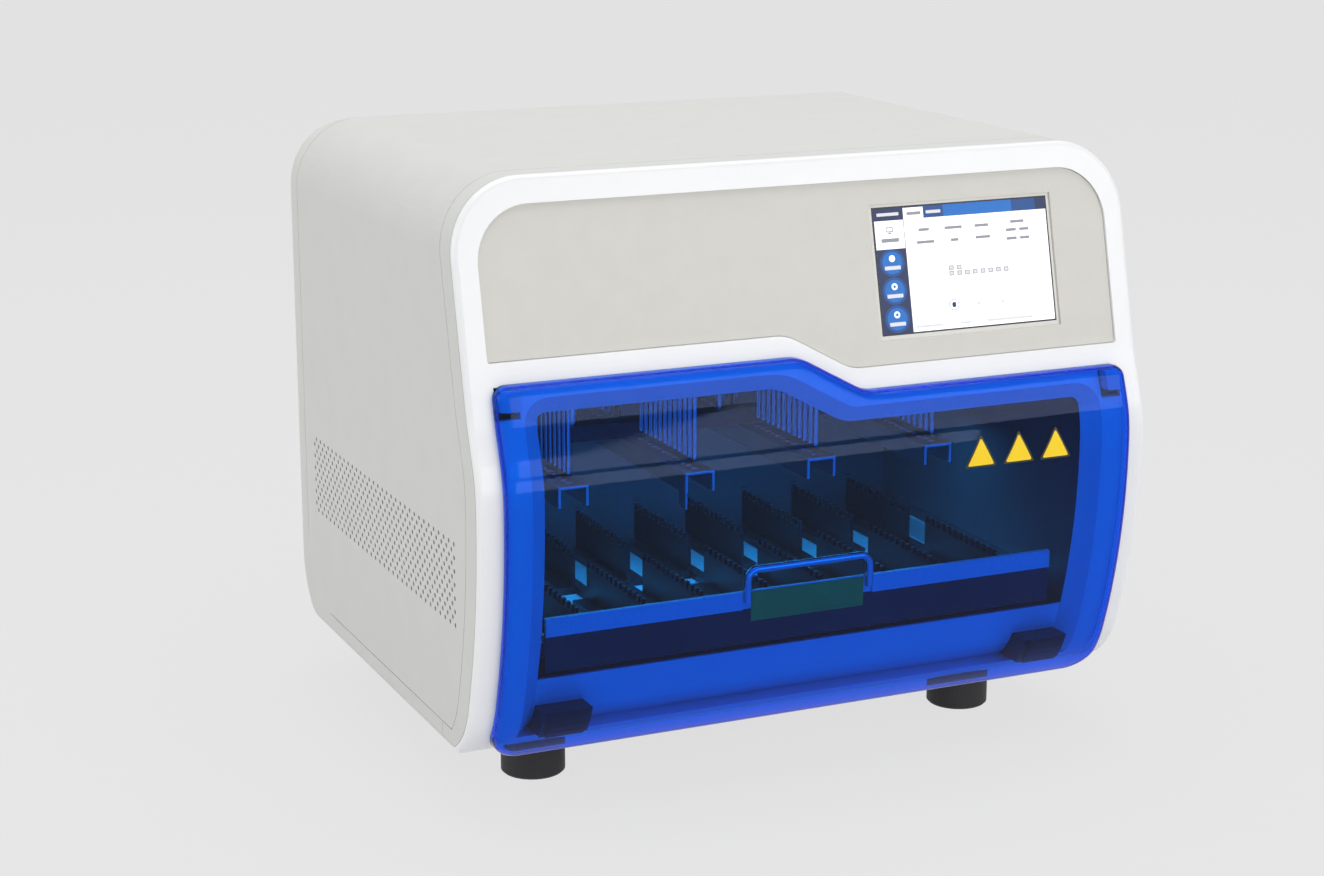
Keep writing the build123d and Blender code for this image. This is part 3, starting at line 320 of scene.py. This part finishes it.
# the side bar: three round keys with a mark and a caption bar, under a white tile
tile(0, 0.17, 0, bar_low, picture_navy, 3)
tile(0.003, 0.167, 0.675, 0.903, picture_white, 4)
key_across = 0.085
for i, middle in enumerate((0.565, 0.34, 0.115)):
    disc(key_across, middle, 0.0105, picture_mid, 3.5)
    disc(key_across, middle, 0.0085, picture_blue)
    disc(key_across, middle + 0.035, 0.0026, picture_white, 5)
    if i:
        disc(key_across, middle + 0.035, 0.0011, picture_blue, 6)
    tile(0.04, 0.13, middle - 0.055, middle - 0.025, picture_pale, 5, 0.0006)

# the white tile's outlined screen on its stand with a caption bar, and the top bar's words
for left, right, low, top, shade, layer, rounding in (
        (0.065, 0.105, 0.81, 0.85, picture_grey, 5, 0.0008),
        (0.069, 0.101, 0.818, 0.842, picture_white, 6, 0.0005),
        (0.077, 0.093, 0.795, 0.806, picture_grey, 5, 0.0),
        (0.035, 0.135, 0.73, 0.76, picture_grey, 5, 0.0006),
        (0.02, 0.145, 0.94, 0.965, picture_pale, 5, 0.0006),
        (0.19, 0.27, 0.935, 0.96, picture_grey, 7, 0.0006),
        (0.30, 0.385, 0.938, 0.963, picture_pale, 6, 0.0006)):
    tile(left, right, low, top, shade, layer, rounding)

# the page's bars, each given by its left edge, width and lower edge
for left, width, up in ((0.25, 0.06, 0.80), (0.40, 0.10, 0.80), (0.575, 0.08, 0.80),
                        (0.785, 0.08, 0.81), (0.235, 0.10, 0.70), (0.43, 0.045, 0.70),
                        (0.575, 0.085, 0.705), (0.755, 0.06, 0.745), (0.835, 0.055, 0.745),
                        (0.755, 0.06, 0.675), (0.835, 0.055, 0.675)):
    tile(left, left + width, up, up + 0.022, picture_grey, 4, 0.0004)

# the row of eight small squares, the first two of them doubled upwards
square_pitch = 0.0455
for i in range(8):
    left = 0.405 + square_pitch * i
    for row in ((0.425, 0.47) if i < 2 else (0.425,)):
        tile(left, left + 0.027, row, row + 0.036, picture_grey, 4, 0.0002)
        tile(left + 0.004, left + 0.023, row + 0.006, row + 0.03, picture_pale, 5, 0.0002)

# the dark key and the two pale ones, and the faint bars along the foot
disc(0.415, 0.19, 0.0043, picture_blue)
disc(0.415, 0.19, 0.0039, picture_white, 5)
tile(0.405, 0.427, 0.17, 0.21, picture_navy, 6, 0.0009)
for across in (0.56, 0.70):
    disc(across, 0.185, 0.0043, picture_pale)
    disc(across, 0.185, 0.0040, picture_white, 5)
    tile(across - 0.008, across + 0.008, 0.172, 0.198, picture_pale, 6)
for left, width in ((0.19, 0.15), (0.44, 0.065), (0.60, 0.27)):
    tile(left, left + width, 0.03, 0.048, picture_pale, 4, 0.0003)

for part in picture_parts:
    part.select_set(True)
bpy.context.view_layer.objects.active = picture_parts[0]
bpy.ops.object.join()
picture = bpy.context.object
picture.name = "display_picture"
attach(picture, "casing")
bpy.ops.object.select_all(action="DESELECT")

# ---- Tinted door
# Clear acrylic shell dyed deep blue, thermoformed and polished, with the hinge blocks bonded
# in its upper corners. The dye is in the sheet, so the colour deepens with the way through it.
door_tint, door_shader = new_material("blue_acrylic", (0.30, 0.78, 1.0), 0.03)
door_shader.inputs["Transmission Weight"].default_value = 1.0
door_shader.inputs["IOR"].default_value = 1.23
ripple = noise(door_tint, scale=14, detail=1.0)
roughen(door_tint, door_shader, ripple, low=0.015, high=0.045)
bump(door_tint, door_shader, ripple, strength=0.06, height=0.0004)
dye = door_tint.node_tree.nodes.new("ShaderNodeVolumeAbsorption")
dye.inputs["Color"].default_value = (0.05, 0.77, 0.99, 1)
dye.inputs["Density"].default_value = 1000.0
door_tint.node_tree.links.new(dye.outputs["Volume"],
                              door_tint.node_tree.nodes["Material Output"].inputs["Volume"])
paint(door_tint, "door_shell")

# ---- Three blank yellow triangles
# Printed film stickers in a row on the door's curved sheet, each a bare yellow face with a
# dark edge round it.
sticker_yellow = grained("sticker_yellow", (0.93, 0.63, 0.0), (0.95, 0.66, 0.004),
                         rough=(0.3, 0.4), scale=800, height=0.00001)
sticker_edge = grained("sticker_edge", (0.02, 0.018, 0.01), (0.03, 0.026, 0.014),
                       rough=(0.3, 0.4), scale=800, height=0.00001)
sticker_start_y = -0.027 - origin_y             # each film starts flat, in front of the door
sticker_rounding = 0.16         # of its corners, for each unit of half its width


def sticker(name, middle, low, half, height, material, lift):
    """A triangle laid on the door's curved face."""
    bpy.ops.mesh.primitive_plane_add(size=1, location=(middle, sticker_start_y, low + height / 2),
                                     rotation=(pi / 2, 0, 0))
    film = bpy.context.object
    film.name = name
    film.scale = (2 * half, height, 1)
    bpy.ops.object.transform_apply()
    bpy.ops.object.mode_set(mode="EDIT")
    mesh = bmesh.from_edit_mesh(film.data)
    top = [v for v in mesh.verts if v.co.z > low + height / 2]
    bmesh.ops.pointmerge(mesh, verts=top, merge_co=Vector((middle, top[0].co.y, low + height)))
    bmesh.update_edit_mesh(film.data)
    bpy.ops.mesh.select_all(action="SELECT")
    bpy.ops.mesh.bevel(offset=half * sticker_rounding, segments=4, affect="VERTICES")
    bpy.ops.mesh.quads_convert_to_tris()
    bpy.ops.mesh.subdivide(number_cuts=7)
    bpy.ops.object.mode_set(mode="OBJECT")
    cling = film.modifiers.new("cling", "SHRINKWRAP")
    cling.target = nodes["door_shell"]
    cling.wrap_method = "PROJECT"
    cling.use_project_y = True
    cling.use_positive_direction = True
    cling.offset = lift
    bpy.ops.object.modifier_apply(modifier="cling")
    film.data.materials.append(material)
    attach(film, "door")
    film.select_set(False)


for i, middle in enumerate((0.1214, 0.1547, 0.1873)):
    sticker(f"triangle_edge_{i + 1}", middle, low=0.2420, half=0.0142, height=0.0253,
            material=sticker_edge, lift=0.00012)
    sticker(f"triangle_face_{i + 1}", middle, low=0.2434, half=0.0117, height=0.0212,
            material=sticker_yellow, lift=0.00022)

# ---- Side ventilation field
# Thirteen staggered rows of round holes punched through each side of the steel cover, before
# it is bent and sprayed.
vent_rows = 13
vent_columns = 32
vent_pitch = 0.0109
row_pitch = 0.0051
vent_front = 0.048 - origin_y
vent_low = 0.151
vent_radius = 0.0019
vent_side = 0.2768              # the middle of the sheet's thickness, from the frame's middle
cutter_length = 0.006
weld_gap = 0.000002             # corners of the cover's mesh nearer than this are one
smooth_below = radians(25)      # edges of a sharper turn than this stay crisp


def punch(side):
    """Cutters for one side's field of holes, one object for each row."""
    bpy.ops.mesh.primitive_cylinder_add(vertices=10, radius=vent_radius, depth=cutter_length,
                                        rotation=(0, pi / 2, 0))
    hole = bpy.context.object
    columns = hole.modifiers.new("columns", "ARRAY")
    columns.count = vent_columns
    columns.use_relative_offset = False
    columns.use_constant_offset = True
    columns.constant_offset_displace = (0, vent_pitch, 0)
    bpy.ops.object.transform_apply()
    bpy.ops.object.modifier_apply(modifier="columns")
    rows = []
    for i in range(vent_rows):
        row = bpy.data.objects.new("row", hole.data.copy())
        bpy.context.collection.objects.link(row)
        stagger = vent_pitch / 2 if i % 2 else 0
        row.data.transform(Matrix.Translation((side * vent_side, vent_front + stagger,
                                               vent_low + i * row_pitch)))
        rows.append(row)
    bpy.data.objects.remove(hole)
    return rows


def solid_copy(name, node):
    """A welded copy of a node's mesh, free to be cut."""
    copy = bpy.data.objects.new(name, nodes[node].data.copy())
    bpy.context.collection.objects.link(copy)
    bpy.context.view_layer.objects.active = copy
    copy.select_set(True)
    bpy.ops.object.mode_set(mode="EDIT")
    bpy.ops.mesh.select_all(action="SELECT")
    bpy.ops.mesh.remove_doubles(threshold=weld_gap)
    bpy.ops.object.mode_set(mode="OBJECT")
    copy.select_set(False)
    return copy


cover = solid_copy("perforated_cover", "wrap_cover")
cutters = punch(-1) + punch(1)
for cutter in cutters:
    cutter.select_set(True)
bpy.context.view_layer.objects.active = cutters[0]
bpy.ops.object.join()
cutter = bpy.context.object
cutter.select_set(False)
bpy.context.view_layer.objects.active = cover
cut = cover.modifiers.new("holes", "BOOLEAN")
cut.operation = "DIFFERENCE"
cut.solver = "EXACT"
cut.object = cutter
bpy.ops.object.modifier_apply(modifier="holes")
bpy.data.objects.remove(cutter)
cover.select_set(True)
bpy.ops.object.shade_smooth_by_angle(angle=smooth_below)
even = cover.modifiers.new("even", "WEIGHTED_NORMAL")
even.keep_sharp = True
even.weight = 100
bpy.ops.object.modifier_apply(modifier="even")
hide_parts("wrap_cover")
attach(cover, "casing")
bpy.ops.object.select_all(action="DESELECT")


# ---- Floor and backdrop
# A pale, matt studio floor that keeps a soft shadow of the instrument, before a backdrop of
# nearly the same tone, so that hardly an edge shows between them.
def seen_directly(tree):
    """1 for rays that show a surface to the camera: straight, mirrored or through the door."""
    path = tree.nodes.new("ShaderNodeLightPath")
    value = path.outputs["Is Camera Ray"]
    for ray in ("Is Glossy Ray", "Is Transmission Ray"):
        either = tree.nodes.new("ShaderNodeMath")
        either.operation = "MAXIMUM"
        tree.links.new(value, either.inputs[0])
        tree.links.new(path.outputs[ray], either.inputs[1])
        value = either.outputs["Value"]
    return value


backdrop_tone = (0.79, 0.79, 0.79)
plain_share = 0.9               # how much of the floor's tone is flat, the rest takes the light
floor_finish, floor_shader = new_material("pale_floor", backdrop_tone, 0.9)
floor_shader.inputs["Specular IOR Level"].default_value = 0.1
floor_tree = floor_finish.node_tree
plain = floor_tree.nodes.new("ShaderNodeEmission")
plain.inputs["Color"].default_value = (*backdrop_tone, 1)
share = floor_tree.nodes.new("ShaderNodeMath")
share.operation = "MULTIPLY"
share.inputs[1].default_value = plain_share
blend = floor_tree.nodes.new("ShaderNodeMixShader")
floor_tree.links.new(seen_directly(floor_tree), share.inputs[0])
floor_tree.links.new(share.outputs["Value"], blend.inputs["Fac"])
floor_tree.links.new(floor_shader.outputs["BSDF"], blend.inputs[1])
floor_tree.links.new(plain.outputs["Emission"], blend.inputs[2])
floor_tree.links.new(blend.outputs["Shader"],
                     floor_tree.nodes["Material Output"].inputs["Surface"])
floor_z = -0.0003               # just under the soles, which stand at zero
bpy.ops.mesh.primitive_plane_add(size=40, location=(0, 0, floor_z))
floor = bpy.context.object
floor.name = "studio_floor"
floor.data.materials.append(floor_finish)

world = bpy.data.worlds.new("studio")
world.use_nodes = True
bpy.context.scene.world = world
sky_tree = world.node_tree
sky_tone = (0.80, 0.80, 0.80)   # what lights the instrument; the camera sees the plain one
sky_strength = 0.76
sky = sky_tree.nodes["Background"]
sky.inputs["Color"].default_value = (*sky_tone, 1)
sky.inputs["Strength"].default_value = sky_strength
plain_sky = sky_tree.nodes.new("ShaderNodeBackground")
plain_sky.inputs["Color"].default_value = (*backdrop_tone, 1)
either_sky = sky_tree.nodes.new("ShaderNodeMixShader")
sky_tree.links.new(seen_directly(sky_tree), either_sky.inputs["Fac"])
sky_tree.links.new(sky.outputs["Background"], either_sky.inputs[1])
sky_tree.links.new(plain_sky.outputs["Background"], either_sky.inputs[2])
sky_tree.links.new(either_sky.outputs["Shader"], sky_tree.nodes["World Output"].inputs["Surface"])


# ---- Lamps and camera
# A large soft lamp overhead, two in front, one on the left and a weak strip inside the
# chamber. The camera has a long lens and looks slightly down from the left of the front.
def softbox(name, place, aim, width, height, watts):
    """A rectangular lamp at a place, turned towards an aim."""
    bpy.ops.object.light_add(type="AREA", location=place)
    lamp = bpy.context.object
    lamp.name = name
    lamp.data.shape = "RECTANGLE"
    lamp.data.size = width
    lamp.data.size_y = height
    lamp.data.energy = watts
    lamp.rotation_euler = (Vector(aim) - Vector(place)).to_track_quat("-Z", "Y").to_euler()


softbox("top_light", (0.1, -0.1, 2.6), (0, 0, 0.4), width=2.2, height=2.2, watts=30)
softbox("chamber_glow", (0.0, -0.031, 0.226), (0, -0.031, 0.1), width=0.40, height=0.022,
        watts=0.4)
softbox("front_light", (1.25, -2.6, 1.1), (0, -0.1, 0.3), width=1.6, height=0.62, watts=9)
softbox("left_light", (-2.6, 0.1, 1.2), (-0.28, 0, 0.25), width=1.5, height=1.5, watts=14)
softbox("low_light", (0.1, -1.6, 0.36), (0, -0.2, 0.09), width=1.6, height=0.22, watts=3.4)

camera_place = (-0.867, -1.834, 0.736)
camera_right = Vector((0.9117, -0.4108, 0.0))
camera_forward = Vector((0.3983, 0.8841, -0.2442)).normalized()
camera_up = camera_right.cross(camera_forward)
camera_turn = Matrix((camera_right, camera_up, -camera_forward)).transposed()
bpy.ops.object.camera_add(location=camera_place)
camera = bpy.context.object
camera.name = "studio_camera"
camera.rotation_euler = camera_turn.to_euler()
camera.data.sensor_width = 36.0
camera.data.lens = 69.7
camera.data.clip_start = 0.05
bpy.context.scene.camera = camera
